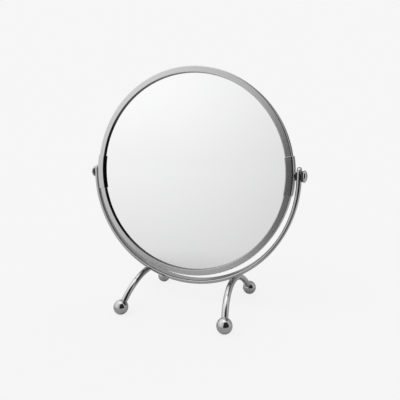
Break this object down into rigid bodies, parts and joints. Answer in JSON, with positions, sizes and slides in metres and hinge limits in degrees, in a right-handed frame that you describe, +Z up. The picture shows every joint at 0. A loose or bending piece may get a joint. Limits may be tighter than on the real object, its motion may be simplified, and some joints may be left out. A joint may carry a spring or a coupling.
{
  "type": "cosmetic table mirror",
  "caption": "Round double-sided cosmetic table mirror: a chromed rim that spins in a curved bar on arched rod legs with ball feet.",
  "frame": {"origin": "on the surface it stands on, midway between the ball feet, below the middle of the ring", "axes": "+Z up, -Y towards the user in front of the flat glass, +X to the right, along the pivot axis"},
  "size_m": [0.1896, 0.09, 0.1977],
  "materials": {
    "chrome": "polished chrome plating on bent steel rod, bar and rolled sheet",
    "mirror_glass": "back-silvered mirror glass, clean and polished",
    "core_grey": "moulded plastic, hidden between the glasses",
    "stud_steel": "turned steel",
    "black_nylon": "moulded black nylon, slightly satin"
  },
  "bodies": {
    "stand": {"yoke": "chrome", "left_leg": "chrome", "right_leg": "chrome", "front_left_foot": "chrome", "front_right_foot": "chrome", "rear_left_foot": "chrome", "rear_right_foot": "chrome"},
    "mirror": {"upper_rim": "chrome", "lower_rim": "chrome", "left_rim_clip": "chrome", "right_rim_clip": "chrome", "front_glass": "mirror_glass", "rear_glass": "mirror_glass", "core_ring": "core_grey", "left_pivot_stud": "stud_steel", "right_pivot_stud": "stud_steel", "left_inner_washer": "black_nylon", "right_inner_washer": "black_nylon", "left_outer_washer": "black_nylon", "right_outer_washer": "black_nylon", "left_cap_nut": "chrome", "right_cap_nut": "chrome"}
  },
  "joints": [
    {"name": "mirror_spin", "type": "hinge", "parent": "stand", "child": "mirror", "pos_m": [0, 0, 0.11264], "axis": [1, 0, 0], "continuous": true}
  ]
}
